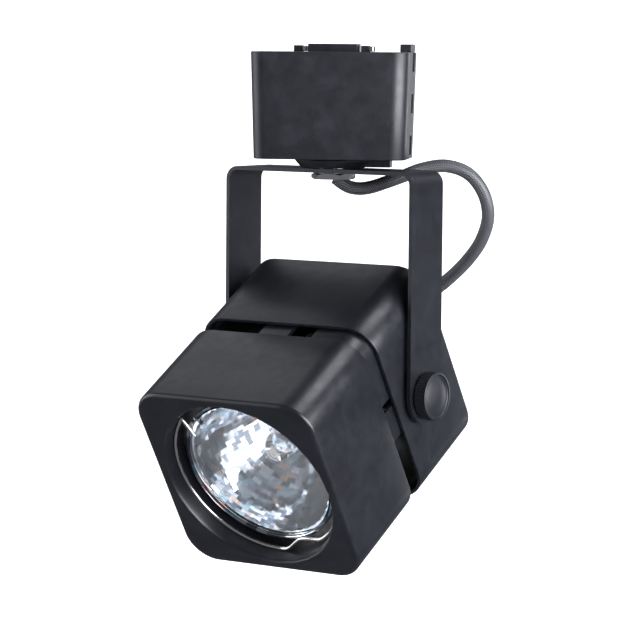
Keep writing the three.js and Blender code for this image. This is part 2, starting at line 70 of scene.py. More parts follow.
# ---------------------------------------------------------------- places of the bodies
joints = {joint["name"]: joint for joint in frame["joints"]}
slot_of = {part["node"]: part["material_slot"] for part in frame["record"]["subparts"]}
bodies = frame["record"]["behaviour"]["bodies"]
body_of = {node: body for body, members in bodies.items() for node in members}

tilt = joints["tilt"]
PIVOT = Vector(tilt["pos_m"])
YOKE_TURN = math.atan2(tilt["axis"][1], tilt["axis"][0])
HEAD_TILT = math.radians(-tilt["range_deg"][0])
BAR_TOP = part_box("yoke")[1].z

TURN = Matrix.Rotation(YOKE_TURN, 4, "Z")
TO_METRES = Matrix.Scale(MM, 4)
ADAPTER = TO_METRES
YOKE = Matrix.Translation((0, 0, BAR_TOP)) @ TURN @ TO_METRES
PIVOTS = Matrix.Translation(PIVOT) @ TURN @ TO_METRES
HEAD = Matrix.Translation(PIVOT) @ TURN @ Matrix.Rotation(HEAD_TILT, 4, "X") @ TO_METRES


def span(node, place):
    """Lowest and highest corner of a CAD node in a body's own millimetres."""
    inverse = place.inverted()
    points = np.array([inverse @ v.co for v in frame["nodes"][node].data.vertices])
    return Vector(points.min(0)), Vector(points.max(0))


front_low, front_high = span("front_shell", HEAD)
rear_low, rear_high = span("rear_shell", HEAD)
SIDE = front_high.x - front_low.x
RISE = (front_high.z + front_low.z) / 2
FRONT_FACE, FRONT_RIM = -front_low.y, -front_high.y
REAR_RIM, REAR_FACE = -rear_low.y, -rear_high.y
CORNER = 9.5
EDGE = 1.2
WALL = 1.2

# Along the light axis: x sideways, y up and z forward, from the middle of the head.
AXIS = HEAD @ Matrix.Translation((0, 0, RISE)) @ TO_FRONT

# ---------------------------------------------------------------- camera
CAMERA_AZIMUTH = 7.4
CAMERA_DROP = 5.23
CAMERA_ROLL = 0.49
CAMERA_DISTANCE = 0.9
CAMERA_LENS = 168.6
AIM = Vector((0, 0, BAR_TOP - 0.0448))
AIM_OFFSET = -0.0052


def make_camera():
    turn, drop, roll = (math.radians(a) for a in (CAMERA_AZIMUTH, CAMERA_DROP, CAMERA_ROLL))
    ahead = Vector((-math.sin(turn) * math.cos(drop), math.cos(turn) * math.cos(drop), -math.sin(drop)))
    level = Vector((math.cos(turn), math.sin(turn), 0))
    upright = level.cross(ahead)
    right = level * math.cos(roll) + upright * math.sin(roll)
    up = upright * math.cos(roll) - level * math.sin(roll)
    camera = bpy.data.objects.new("camera", bpy.data.cameras.new("camera"))
    camera.data.lens = CAMERA_LENS
    camera.data.clip_end = 20
    basis = Matrix((right, up, -ahead)).transposed().to_4x4()
    place = AIM + right * AIM_OFFSET - ahead * CAMERA_DISTANCE
    camera.matrix_world = Matrix.Translation(place) @ basis
    bpy.context.scene.collection.objects.link(camera)
    bpy.context.scene.camera = camera


make_camera()


# ---------------------------------------------------------------- materials
def new_material(name, color, roughness, metallic=0.0, **sockets):
    material = bpy.data.materials.new(name)
    material.use_nodes = True
    shader = material.node_tree.nodes["Principled BSDF"]
    shader.inputs["Base Color"].default_value = (*color, 1)
    shader.inputs["Roughness"].default_value = roughness
    shader.inputs["Metallic"].default_value = metallic
    for socket, value in sockets.items():
        shader.inputs[socket.replace("_", " ")].default_value = value
    return material


def add(material, kind, **settings):
    node = material.node_tree.nodes.new(kind)
    for name, value in settings.items():
        setattr(node, name, value)
    return node


def link(material, source, target):
    material.node_tree.links.new(source, target)


def shader_of(material):
    return material.node_tree.nodes["Principled BSDF"]


def noise(material, size_mm, detail=3.0, stretch=(1, 1, 1)):
    """Noise whose features are about size_mm across, fixed to the row frame."""
    where = add(material, "ShaderNodeTexCoord")
    scaled = add(material, "ShaderNodeMapping")
    scaled.inputs["Scale"].default_value = stretch
    texture = add(material, "ShaderNodeTexNoise")
    texture.inputs["Scale"].default_value = 1 / (size_mm * MM)
    texture.inputs["Detail"].default_value = detail
    link(material, where.outputs["Object"], scaled.inputs["Vector"])
    link(material, scaled.outputs["Vector"], texture.inputs["Vector"])
    return texture.outputs["Fac"]


def remap(material, value, low, high, start=0.3, stop=0.7):
    node = add(material, "ShaderNodeMapRange")
    for socket, number in (("From Min", start), ("From Max", stop), ("To Min", low), ("To Max", high)):
        node.inputs[socket].default_value = number
    link(material, value, node.inputs["Value"])
    return node.outputs["Result"]


def tint(material, value, dark, light):
    node = add(material, "ShaderNodeMix", data_type="RGBA")
    node.inputs["A"].default_value = (*dark, 1)
    node.inputs["B"].default_value = (*light, 1)
    link(material, value, node.inputs["Factor"])
    link(material, node.outputs["Result"], shader_of(material).inputs["Base Color"])


def rough(material, value):
    link(material, value, shader_of(material).inputs["Roughness"])


def relief(material, *layers):
    """Bump layers, each (height, strength, depth in millimetres)."""
    normal = None
    for height, strength, depth in layers:
        bump = add(material, "ShaderNodeBump")
        bump.inputs["Strength"].default_value = strength
        bump.inputs["Distance"].default_value = depth * MM
        link(material, height, bump.inputs["Height"])
        if normal is not None:
            link(material, normal, bump.inputs["Normal"])
        normal = bump.outputs["Normal"]
    link(material, normal, shader_of(material).inputs["Normal"])


def black_paint():
    """Satin powder coat: orange peel about a millimetre across under a finer grain."""
    m = new_material("black_paint", (0.008, 0.0085, 0.012), 0.34)
    tint(m, remap(m, noise(m, 9), 0, 1), (0.0035, 0.0038, 0.0055), (0.0065, 0.007, 0.010))
    rough(m, remap(m, noise(m, 3), 0.30, 0.39))
    relief(m, (noise(m, 1.1, 2), 0.5, 0.03), (noise(m, 0.35, 2), 0.5, 0.02))
    return m


def black_plastic():
    """Moulded plastic with a fine spark-eroded grain and a few faint handling scuffs."""
    m = new_material("black_plastic", (0.009, 0.0095, 0.013), 0.42)
    scuffs = remap(m, noise(m, 6, 6), 0, 1, 0.5, 0.75)
    tint(m, scuffs, (0.005, 0.0055, 0.008), (0.010, 0.011, 0.015))
    rough(m, remap(m, noise(m, 4), 0.38, 0.48))
    relief(m, (noise(m, 0.4, 3), 0.8, 0.03))
    return m


def nickel():
    m = new_material("nickel", (0.80, 0.77, 0.73), 0.16, 1.0)
    rough(m, remap(m, noise(m, 1.5), 0.12, 0.24))
    relief(m, (noise(m, 0.8), 0.1, 0.01))
    return m


def zinc_steel():
    """Zinc plate over rolled sheet: cloudy, with drawn-out grain."""
    m = new_material("zinc_steel", (0.42, 0.42, 0.43), 0.38, 1.0)
    tint(m, remap(m, noise(m, 3, 5), 0, 1), (0.34, 0.34, 0.35), (0.52, 0.52, 0.53))
    rough(m, remap(m, noise(m, 1.5, 4, (1, 1, 6)), 0.30, 0.46))
    relief(m, (noise(m, 0.4, 3, (1, 1, 8)), 0.15, 0.01))
    return m


def brass():
    m = new_material("brass", (0.66, 0.50, 0.24), 0.3, 1.0)
    rough(m, remap(m, noise(m, 1.2), 0.24, 0.38))
    return m


def ceramic():
    m = new_material("ceramic", (0.80, 0.77, 0.69), 0.6)
    tint(m, remap(m, noise(m, 0.6, 5), 0, 1), (0.72, 0.69, 0.61), (0.84, 0.81, 0.74))
    relief(m, (noise(m, 0.5, 4), 0.3, 0.03))
    return m


def clear_glass():
    m = new_material("clear_glass", (0.97, 0.985, 1.0), 0.015, Transmission_Weight=1.0, IOR=1.45)
    relief(m, (noise(m, 5, 1), 0.06, 0.05))
    return m


def mirror_glass():
    """Mirror facets painted from dark grey to bright as a painted reflection, a few of them with a cyan or warm
    tint of the coating.
    """
    m = new_material("mirror_glass", (0.82, 0.84, 0.87), 0.09, 1.0)
    tone_and_painted_light = add(m, "ShaderNodeVertexColor", layer_name="tone_and_painted_light")
    link(m, tone_and_painted_light.outputs["Color"], shader_of(m).inputs["Base Color"])
    rough(m, remap(m, noise(m, 2), 0.06, 0.13))
    return m


def nylon():
    m = new_material("nylon", (0.74, 0.73, 0.69), 0.5)
    relief(m, (noise(m, 0.5), 0.2, 0.02))
    return m


def silicone(name, color):
    m = new_material(name, color, 0.4)
    relief(m, (noise(m, 0.8), 0.15, 0.02))
    return m


def braid():
    """Woven sleeve: the strands are geometry, and each face carries its own colour, the strands' dark tone with a
    painted highlight along their crowns and painted shade where they pass under.
    """
    m = new_material("braid", (0.012, 0.012, 0.014), 0.34)
    strand = add(m, "ShaderNodeVertexColor", layer_name="tone_and_painted_light")
    link(m, strand.outputs["Color"], shader_of(m).inputs["Base Color"])
    relief(m, (noise(m, 0.15, 2), 0.4, 0.02))
    return m


materials = {
    "black_paint": black_paint(),
    "black_plastic": black_plastic(),
    "nickel": nickel(),
    "zinc_steel": zinc_steel(),
    "brass": brass(),
    "ceramic": ceramic(),
    "clear_glass": clear_glass(),
    "mirror_glass": mirror_glass(),
    "nylon": nylon(),
    "braid": braid(),
    "red_wire": silicone("red_wire", (0.34, 0.05, 0.03)),
    "blue_wire": silicone("blue_wire", (0.04, 0.09, 0.27)),
}
for node, piece in frame["nodes"].items():
    piece.data.materials.clear()
    piece.data.materials.append(materials[slot_of[node]])


# ---------------------------------------------------------------- mesh helpers
def raw(name, verts, faces, place):
    """A closed mesh object in the row frame, with its faces pointing out."""
    mesh = bpy.data.meshes.new(name)
    mesh.from_pydata([tuple(v) for v in verts], [], faces)
    mesh.transform(place)
    work = bmesh.new()
    work.from_mesh(mesh)
    bmesh.ops.remove_doubles(work, verts=work.verts, dist=1e-7)
    bmesh.ops.recalc_face_normals(work, faces=work.faces)
    work.to_mesh(mesh)
    work.free()
    piece = bpy.data.objects.new(name, mesh)
    bpy.context.scene.collection.objects.link(piece)
    return piece


def combine(piece, operation, *tools):
    """Joins the tools to the piece or cuts them from it, and removes them."""
    for tool in tools:
        change = piece.modifiers.new("combine", "BOOLEAN")
        change.operation = operation
        change.solver = "EXACT"
        change.object = tool
    bpy.context.view_layer.update()
    shaped = piece.evaluated_get(bpy.context.evaluated_depsgraph_get())
    mesh = bpy.data.meshes.new_from_object(shaped)
    piece.modifiers.clear()
    piece.data = mesh
    for tool in tools:
        bpy.data.objects.remove(tool)
    return piece


def stand_for(piece, node, crease=32, bevel=0.0):
    """Gives a new piece the body, material slot and finish of the CAD node that it replaces."""
    piece.data.materials.clear()
    piece.data.materials.append(materials[slot_of[node]])
    piece.data.shade_smooth()
    piece.data.set_sharp_from_angle(angle=math.radians(crease))
    if bevel:
        soften = piece.modifiers.new("edges", "BEVEL")
        soften.width = bevel * MM
        soften.segments = 3
        soften.limit_method = "ANGLE"
        soften.angle_limit = math.radians(crease)
        soften.harden_normals = True
    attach(piece, body_of[node])
    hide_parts(node)
    return piece


def box_mesh(low, high):
    verts = [(x, y, z) for x in (low[0], high[0]) for y in (low[1], high[1]) for z in (low[2], high[2])]
    faces = [(0, 1, 3, 2), (4, 6, 7, 5), (0, 4, 5, 1), (2, 3, 7, 6), (0, 2, 6, 4), (1, 5, 7, 3)]
    return verts, faces


def skin(loops, closed=False):
    """Quads between loops of the same number of points; unless closed, its two ends are capped."""
    count = len(loops[0])
    verts = [point for loop in loops for point in loop]
    faces = []
    last = len(loops) if closed else len(loops) - 1
    for i in range(last):
        a, b = i * count, (i + 1) % len(loops) * count
        faces += [(a + j, a + (j + 1) % count, b + (j + 1) % count, b + j) for j in range(count)]
    if not closed:
        faces += [tuple(range(count)), tuple(range(len(verts) - count, len(verts)))]
    return verts, faces


def circle(radius, station, count=96, spin=0.0):
    steps = [2 * math.pi * i / count + spin for i in range(count)]
    return [(radius * math.cos(a), radius * math.sin(a), station) for a in steps]


def turned(profile, count=96):
    """A round piece about Z from [radius, station] points; it ends on flat caps."""
    return skin([circle(max(radius, 0.01), station, count) for radius, station in profile])


def hollow(profile, count=96):
    """A round piece about Z whose profile closes on itself."""
    return skin([circle(radius, station, count) for radius, station in profile], closed=True)


def arc(cx, cy, radius, start, stop, count):
    angles = [math.radians(start + (stop - start) * i / count) for i in range(count + 1)]
    return [(cx + radius * math.cos(a), cy + radius * math.sin(a)) for a in angles]


def rounded_square(width, depth, radius, station, arc_steps=12, side_steps=6):
    """One loop of points round a rounded rectangle, starting at its right-hand side."""
    corners = [(1, 1), (-1, 1), (-1, -1), (1, -1)]
    loop = []
    for k, (sx, sy) in enumerate(corners):
        middle = (sx * (width / 2 - radius), sy * (depth / 2 - radius))
        loop += arc(*middle, radius, 90 * k, 90 * (k + 1), arc_steps)
        nx, ny = corners[(k + 1) % 4]
        next_middle = (nx * (width / 2 - radius), ny * (depth / 2 - radius))
        ahead = arc(*next_middle, radius, 90 * (k + 1), 90 * (k + 1), 1)[0]
        here = loop[-1]
        for i in range(1, side_steps):
            share = i / side_steps
            loop.append((here[0] + (ahead[0] - here[0]) * share, here[1] + (ahead[1] - here[1]) * share))
    return [(x, y, station) for x, y in loop]


def round_like(loop, radius, station):
    """A circle whose points lie in the same directions as the loop's."""
    return [(radius * x / math.hypot(x, y), radius * y / math.hypot(x, y), station) for x, y, _ in loop]


def between(first, second, share):
    return [tuple(a + (b - a) * share for a, b in zip(p, q)) for p, q in zip(first, second)]


def prism(outline, low, high):
    return skin([[(x, y, low) for x, y in outline], [(x, y, high) for x, y in outline]])


def catmull(points, per_span):
    """A centripetal Catmull-Rom line through the points, the same curve as the CAD cord's."""
    p = [Vector(q) for q in points]
    p = [2 * p[0] - p[1]] + p + [2 * p[-1] - p[-2]]
    line = []
    for a, b, c, d in zip(p, p[1:], p[2:], p[3:]):
        d0, d1, d2 = ((x - y).length ** 0.5 for x, y in ((a, b), (b, c), (c, d)))
        t1 = ((b - a) / d0 - (c - a) / (d0 + d1) + (c - b) / d1) * d1
        t2 = ((c - b) / d1 - (d - b) / (d1 + d2) + (d - c) / d2) * d1
        for i in range(per_span):
            u = i / per_span
            line.append(b + t1 * u + (3 * (c - b) - 2 * t1 - t2) * u * u + (2 * (b - c) + t1 + t2) * u ** 3)
    line.append(p[-2].copy())
    return line


def even(line, count):
    """The same line with its points a constant distance apart, and its length."""
    line = np.array([tuple(q) for q in line])
    along = np.r_[0, np.cumsum(np.linalg.norm(np.diff(line, axis=0), axis=1))]
    marks = np.linspace(0, along[-1], count)
    points = np.stack([np.interp(marks, along, line[:, k]) for k in range(3)], 1)
    return [Vector(q) for q in points], along[-1]


def tube(line, radius, sides):
    """Loops round a line that don't twist. radius is a number or a function of (along, angle)."""
    loops, side = [], None
    for i, here in enumerate(line):
        ahead = (line[min(i + 1, len(line) - 1)] - line[max(i - 1, 0)]).normalized()
        side = ahead.orthogonal() if side is None else side - ahead * side.dot(ahead)
        side.normalize()
        other = ahead.cross(side)
        loop = []
        for j in range(sides):
            a = 2 * math.pi * j / sides
            r = radius(i, a) if callable(radius) else radius
            loop.append(tuple(here + (side * math.cos(a) + other * math.sin(a)) * r))
        loops.append(loop)
    return loops


def paint(piece, colors):
    """Stores one colour a face in the attribute that the material reads."""
    layer = piece.data.color_attributes.new("tone_and_painted_light", "FLOAT_COLOR", "CORNER")
    for face in piece.data.polygons:
        for corner in face.loop_indices:
            layer.data[corner].color = (*colors[face.index], 1)


# ---------------------------------------------------------------- cord
CORD_DIAMETER = 4.0
CORD_ROUTE = [
    (0.6, 0.2, -2.9), (2.3, 1, -4.3), (4.4, 2.1, -5.6), (7.2, 3.7, -6.1), (10.1, 5.7, -5.6),
    (13.4, 8.5, -4.2), (17, 12.1, -2.4), (21.6, 16.4, -0.1), (27.4, 20.4, 0.9), (33, 24.2, -1.3),
    (36.4, 27.4, -6.8), (36.8, 30.2, -14), (33.4, 32.4, -21.6), (26.8, 34.6, -28.8), (18, 36.4, -35.8),
    (11.2, 36.9, -40.4), (6, 36, -44), (2.6, 33.3, -46.6), (0.6, 28.9, -48.6), (0, 24.05, -51.4),
]
CARRIERS = 16             # strands of the braid that run each way
BRAID_PITCH = 11.0        # millimetres along the cord for one turn of a strand
BRAID_RELIEF = 0.2
CORD_SIDES = 80
CORD_RINGS = 860


def make_cord():
    line, length = even(catmull(CORD_ROUTE, 40), CORD_RINGS)

    def weave(i, angle):
        # two families of strands that pass over and under each other
        turn = 2 * math.pi * (i / (CORD_RINGS - 1) * length) / BRAID_PITCH
        one = CARRIERS * (angle + turn)
        two = CARRIERS * (angle - turn)
        over = math.sin(one / 2) * math.sin(two / 2)
        height = abs(math.cos(one / 2)) if over > 0 else abs(math.cos(two / 2))
        return CORD_DIAMETER / 2 - BRAID_RELIEF + BRAID_RELIEF * height

    verts, faces = skin(tube(line, weave, CORD_SIDES))
    piece = raw("cord_sleeve", verts, faces, YOKE)
    # painted highlight and shade: a strand is painted palest along its crown where it rides over the others, and
    # darker where it passes under
    colors = []
    for face in piece.data.polygons:
        i, j = divmod(face.index, CORD_SIDES)
        angle = 2 * math.pi * (j + 0.5) / CORD_SIDES
        turn = 2 * math.pi * ((i + 0.5) / (CORD_RINGS - 1) * length) / BRAID_PITCH
        one, two = CARRIERS * (angle + turn), CARRIERS * (angle - turn)
        over = math.sin(one / 2) * math.sin(two / 2) > 0
        # painted highlight on each strand's crown, brightest where it rides over, with painted shade on strands
        # passing under
        crown_highlight = abs(math.cos((one if over else two) / 2)) ** 4
        shade = 0.006 + (0.16 if over else 0.02) * crown_highlight
        colors.append((shade, shade, shade * 1.12))
    paint(piece, colors)
    piece.data.materials.append(materials["braid"])
    piece.data.shade_smooth()
    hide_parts("cord")
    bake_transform(piece)


make_cord()


# ---------------------------------------------------------------- head shells
def side_loop(inset, station):
    return rounded_square(SIDE - 2 * inset, SIDE - 2 * inset, CORNER - inset, station)


def bend(radius, face, inward, steps=6):
    """Loops round the edge of a face: radius is the bend's, inward is +1 where the face looks forward."""
    loops = []
    for i in range(steps + 1):
        a = math.pi / 2 * i / steps
        loops.append(side_loop(radius * (1 - math.cos(a)), face - inward * radius * (1 - math.sin(a))))
    return loops


OPENING = 28.7
THROAT = 9.5


def make_front_shell():
    outer = [side_loop(0.2, FRONT_RIM), side_loop(0.05, FRONT_RIM + 0.06), side_loop(0, FRONT_RIM + 0.25)]
    outer += [side_loop(0, FRONT_RIM + 11), side_loop(0, FRONT_RIM + 22)]
    outer += bend(EDGE, FRONT_FACE, 1)
    face = outer[-1]
    lip = [(0.9, 0), (0.5, -0.06), (0.15, -0.3), (0, -0.7), (-0.3, -1.6), (-0.4, -5), (-0.5, 0.2 - THROAT)]
    lip += [(-0.3, -THROAT), (0.6, -THROAT), (0.8, 0.2 - THROAT), (0.9, -WALL - 1.4), (1.6, -WALL - 0.3)]
    mouth = [round_like(face, OPENING + extra, FRONT_FACE + drop) for extra, drop in lip]
    flat = [between(face, mouth[0], share) for share in (0.25, 0.5, 0.75)]
    inner = [side_loop(EDGE + WALL, FRONT_FACE - WALL), side_loop(WALL, FRONT_FACE - WALL - EDGE)]
    inner += [side_loop(WALL, FRONT_RIM + 0.25), side_loop(WALL - 0.2, FRONT_RIM)]
    verts, faces = skin(outer + flat + mouth + inner, closed=True)
    stand_for(raw("front_shell_skin", verts, faces, AXIS), "front_shell")


VENT_RING = 22
VENT_RADIUS = 3.2
VENTS = 8
GLAND_HOLE = 4.3
STUD_HOLE = 2.55
SCREW_HOLE = 1.8
SCREW_SPOTS = [(-15, 15), (15, -15)]


def post(x, y, radius, low, high, count=48):
    """A cutter: a round bar along the light axis."""
    loops = [[(x + px, y + py, pz) for px, py, pz in circle(radius, z, count)] for z in (low, high)]
    return raw("cutter", *skin(loops), AXIS)


def make_rear_shell():
    outer = bend(EDGE, REAR_FACE, -1)[::-1]
    outer += [side_loop(0, REAR_FACE + 12), side_loop(0, REAR_FACE + 22), side_loop(0, REAR_RIM - 0.25)]
    outer += [side_loop(0.05, REAR_RIM - 0.06), side_loop(0.2, REAR_RIM), side_loop(WALL - 0.2, REAR_RIM)]
    outer += [side_loop(WALL, REAR_RIM - 0.25), side_loop(WALL, REAR_FACE + WALL + EDGE)]
    outer += [side_loop(WALL + EDGE / 2, REAR_FACE + WALL + 0.3), side_loop(WALL + EDGE, REAR_FACE + WALL)]
    shell = raw("rear_shell_skin", *skin(outer), AXIS)
    holes = [(0, 0, GLAND_HOLE)] + [(x, y, SCREW_HOLE) for x, y in SCREW_SPOTS]
    for i in range(VENTS):
        a = 2 * math.pi * i / VENTS
        holes.append((VENT_RING * math.cos(a), VENT_RING * math.sin(a), VENT_RADIUS))
    tools = [post(x, y, radius, REAR_FACE - 3, REAR_FACE + 4) for x, y, radius in holes]
    tools.append(raw("cutter", *turned([(STUD_HOLE, -50), (STUD_HOLE, 50)], 48), PIVOTS @ TO_SIDE))
    combine(shell, "DIFFERENCE", *tools)
    stand_for(shell, "rear_shell", bevel=0.12)


make_front_shell()
make_rear_shell()


# ---------------------------------------------------------------- yoke
YOKE_SHEET = 1.2
YOKE_BEND = 4
PIVOT_HOLE = 2.35
NIPPLE_HOLE = 5.3
NUT_FLATS = 12
NUT_SPIN = 0.35


def make_yoke():
    low, high = span("yoke", YOKE)
    half, strip = high.x, (high.y - low.y) / 2
    foot, drop = low.z, -low.z - strip
    inner = half - YOKE_SHEET
    outline = [(-half, foot - 1), (-half, -YOKE_BEND)]
    outline += arc(-half + YOKE_BEND, -YOKE_BEND, YOKE_BEND, 180, 90, 12)
    outline += arc(half - YOKE_BEND, -YOKE_BEND, YOKE_BEND, 90, 0, 12)
    outline += [(half, foot - 1), (inner, foot - 1)]
    outline += arc(half - YOKE_BEND, -YOKE_BEND, YOKE_BEND - YOKE_SHEET, 0, 90, 12)
    outline += arc(-half + YOKE_BEND, -YOKE_BEND, YOKE_BEND - YOKE_SHEET, 90, 180, 12)
    outline += [(-inner, foot - 1)]
    piece = raw("yoke_strip", *prism(outline, -strip, strip), YOKE @ TO_FRONT)
    # the arms' side view, drawn with x down and y to the rear
    arm = [(-6, -strip)] + arc(drop, 0, strip, -90, 90, 40) + [(-6, strip)]
    combine(piece, "INTERSECT", raw("cutter", *prism(arm, -60, 60), YOKE @ TO_SIDE))
    pivot = raw("cutter", *turned([(PIVOT_HOLE, -60), (PIVOT_HOLE, 60)], 48), PIVOTS @ TO_SIDE)
    nipple = raw("cutter", *turned([(NIPPLE_HOLE, -5), (NIPPLE_HOLE, 5)], 64), YOKE)
    combine(piece, "DIFFERENCE", pivot, nipple)
    stand_for(piece, "yoke", bevel=0.55)


def make_nipple_nut():
    low, high = span("nipple_nut", YOKE)
    flats = NUT_FLATS / 2
    corner = flats / math.cos(math.pi / 6)
    thick = high.z - low.z
    # hexagon cut by a cone at both faces
    body = raw("nipple_nut_form", *skin([circle(corner, z, 6, NUT_SPIN) for z in (low.z, high.z)]), YOKE)
    chamfer = [(flats, low.z), (corner + 0.1, low.z + 0.55), (corner + 0.1, high.z - 0.55), (flats, high.z)]
    combine(body, "INTERSECT", raw("cutter", *turned(chamfer, 72), YOKE))
    bore = [(NIPPLE_HOLE, low.z - thick), (NIPPLE_HOLE, high.z + thick)]
    combine(body, "DIFFERENCE", raw("cutter", *turned(bore, 64), YOKE))
    stand_for(body, "nipple_nut", bevel=0.12, crease=20)


make_yoke()
make_nipple_nut()


# ---------------------------------------------------------------- clamp knobs
KNURLS = 56
KNURL_DEPTH = 0.28
DOME_RISE = 1.125


def make_knob(side, label):
    spin = Matrix.Rotation(0 if side > 0 else math.pi, 4, "Z") @ TO_SIDE
    low, high = span(f"knob_{label}", PIVOTS @ spin)
    radius, foot, cap = high.x, low.z, high.z
    count = KNURLS * 6

    def ridged(reach, station, depth):
        loop = []
        for i in range(count):
            a = 2 * math.pi * i / count
            r = reach - depth * (0.5 - 0.5 * math.cos(KNURLS * a))
            loop.append((r * math.cos(a), r * math.sin(a), station))
        return loop

    loops = [ridged(2.3, foot, 0), ridged(radius - 0.6, foot, 0), ridged(radius - 0.1, foot + 0.35, 0.1)]
    loops += [ridged(radius, foot + 0.6, KNURL_DEPTH), ridged(radius, cap - 0.95, KNURL_DEPTH)]
    # the smooth rim steps in to a low dome
    loops += [ridged(radius - 0.05, cap - 0.85, 0), ridged(radius - 0.1, cap - 0.7, 0)]
    loops += [ridged(radius - 0.3, cap - 0.62, 0), ridged(radius - 0.65, cap - 0.55, 0)]
    loops += [ridged(radius - 0.8, cap - 0.9, 0), ridged(radius - 0.95, cap - 1.1, 0)]
    reach = radius - 1.05
    for share in (1, 0.92, 0.8, 0.65, 0.45, 0.25, 0.08):
        loops.append(ridged(reach * share, cap - DOME_RISE * share ** 2, 0))
    piece = raw(f"knob_{label}_form", *skin(loops), PIVOTS @ spin)
    stand_for(piece, f"knob_{label}", crease=40)


make_knob(1, "right")
make_knob(-1, "left")


# ---------------------------------------------------------------- lamp
LAMP_RADIUS = 25.2
FACETS = 42
ROWS = 24
lamp_front = -span("lamp_reflector", HEAD)[0].y


def make_reflector():
    """A flat-sided mirror: facets in rings like bricks, each ring turned half a facet from the last."""
    curve = [(22.7, -1.9), (20.9, -6.9), (18.0, -11.7), (14.3, -16)]
    curve += [(10.3, -20.4), (6.8, -24.2), (5.4, -25.2)]
    bowl, _ = even(catmull([(radius, drop, 0) for radius, drop in curve], 20), ROWS + 1)
    steps = FACETS * 2
    inner = []
    for i, (radius, drop, _) in enumerate(bowl):
        loop = []
        for j in range(steps):
            a = math.pi * j / FACETS
            bulge = (0.26 if (i + j) % 2 else 0.0) + 0.1 * (rng.random() - 0.5)
            loop.append(((radius + bulge) * math.cos(a), (radius + bulge) * math.sin(a), lamp_front + drop))
        inner.append(loop)
    shell = [(24.2, -1.9), (24.2, -0.2), (24.4, 0), (LAMP_RADIUS - 0.2, 0), (LAMP_RADIUS, -0.2)]
    shell += [(LAMP_RADIUS, -2.2), (23.6, -3.2), (21.8, -7.5), (18, -13.5)]
    shell += [(13.4, -19.5), (9.5, -24), (8, -27)]
    rim_and_back = [circle(radius, lamp_front + drop, steps) for radius, drop in shell]
    neck = [circle(5.4, lamp_front - 27, steps)]
    # from the neck up the mirror, over the rim and down the back
    verts, faces = skin(neck + inner[::-1] + rim_and_back, closed=True)
    piece = raw("lamp_reflector_form", verts, faces, AXIS)
    # painted reflection: the grey, dark grey and near-white facets stand for what each facet mirrors; the cyan and
    # warm ones are the coating's tint
    facet_reflections_and_tints = [(0.62, 0.65, 0.69)] * 12 + [(0.42, 0.45, 0.50)] * 9 + [(0.42, 0.60, 0.68)] * 2
    facet_reflections_and_tints += [(0.80, 0.58, 0.44), (0.68, 0.56, 0.56)] + [(0.20, 0.22, 0.26)] * 8 + [(0.9, 0.91, 0.93)] * 4
    stand_for(piece, "lamp_reflector", crease=4)
    # one colour a brick, which is two faces wide, drawn from the painted reflections and coating tints above
    bricks, inverse = {}, AXIS.inverted()
    drops = [point.y for point in bowl]
    colors = []
    for face in piece.data.polygons:
        middle = inverse @ face.center
        ring = sum(middle.z - lamp_front < drop for drop in drops)
        step = int(math.atan2(middle.y, middle.x) % (2 * math.pi) / (math.pi / FACETS))
        brick = (ring, (step + ring % 2) // 2 % FACETS)
        if brick not in bricks:
            bricks[brick] = facet_reflections_and_tints[rng.randrange(len(facet_reflections_and_tints))]
        colors.append(bricks[brick])
    paint(piece, colors)


def make_front_glass():
    face = [(0.5, -0.1), (23.2, -0.1), (23.7, -0.25), (23.9, -0.6), (23.9, -1.6), (0.5, -1.6)]
    piece = raw("lamp_front_glass_form", *turned([(r, lamp_front + z) for r, z in face]), AXIS)
    stand_for(piece, "lamp_front_glass")


def make_capsule():
    dome = [(4.4 * math.cos(a), -12 + 3.8 * math.sin(a)) for a in np.linspace(0, math.pi / 2 - 0.05, 10)]
    profile = [(2.2, -26.6), (4.1, -26.4), (4.4, -25.8), (4.4, -20), (4.4, -14)] + dome
    piece = raw("lamp_capsule_form", *turned([(r, lamp_front + z) for r, z in profile], 48), AXIS)
    stand_for(piece, "lamp_capsule", crease=50)


def make_seat_ring():
    low, high = span("lamp_seat_ring", HEAD)
    outer, back, front = high.x, -high.y, -low.y
    inner, edge = 24, 0.1
    section = [(inner, back + edge), (inner + edge, back), (outer - edge, back), (outer, back + edge)]
    section += [(outer, front - edge), (outer - edge, front), (inner + edge, front), (inner, front - edge)]
    stand_for(raw("lamp_seat_ring_form", *hollow(section), AXIS), "lamp_seat_ring")


CLIP_RADIUS = 27.6
CLIP_WIRE = 0.6


def make_clip():
    """A snap ring of spring wire: two arcs, with a straight tail and a cranked thumb bend."""
    station = FRONT_FACE - 5
    path = [(-17.5, 13), (-18.7, 16.2), (-20.2, 19)] + arc(0, 0, CLIP_RADIUS, 141, 271, 26)
    path += [(2.6, -27), (7.9, -23), (9.3, -22.6), (15.2, -22.2), (16.6, -21.6)]
    path += arc(0, 0, CLIP_RADIUS, 316, 456, 28)
    line = catmull([(x, y, station) for x, y in path], 4)
    piece = raw("lamp_clip_form", *skin(tube(line, CLIP_WIRE, 16)), AXIS)
    stand_for(piece, "lamp_clip", crease=50)


make_reflector()
make_front_glass()
make_capsule()
make_seat_ring()
make_clip()


# ---------------------------------------------------------------- rear of the head
def make_gland():
    low, high = span("cord_gland", HEAD)
    tip, base = -high.y, REAR_FACE - GAP
    loops = [(2.4, tip + 0.3), (2.6, tip), (3.3, tip), (3.6, tip + 0.3)]
    ribs = 4
    for i in range(ribs):
        # each rib steps out from the groove before it
        z = tip + 0.7 + 1.0 * i
        r = 3.7 + 0.4 * i
        loops += [(r, z), (r, z + 0.5), (r - 0.35, z + 0.6), (r - 0.35, z + 0.9)]
    loops += [(5.7, base - 1.9), (6, base - 1.6), (6, base - 0.2), (5.8, base)]
    loops += [(4, base), (4, -low.y), (2.4, -low.y)]
    stand_for(raw("cord_gland_form", *hollow(loops, 64), AXIS), "cord_gland", crease=35)


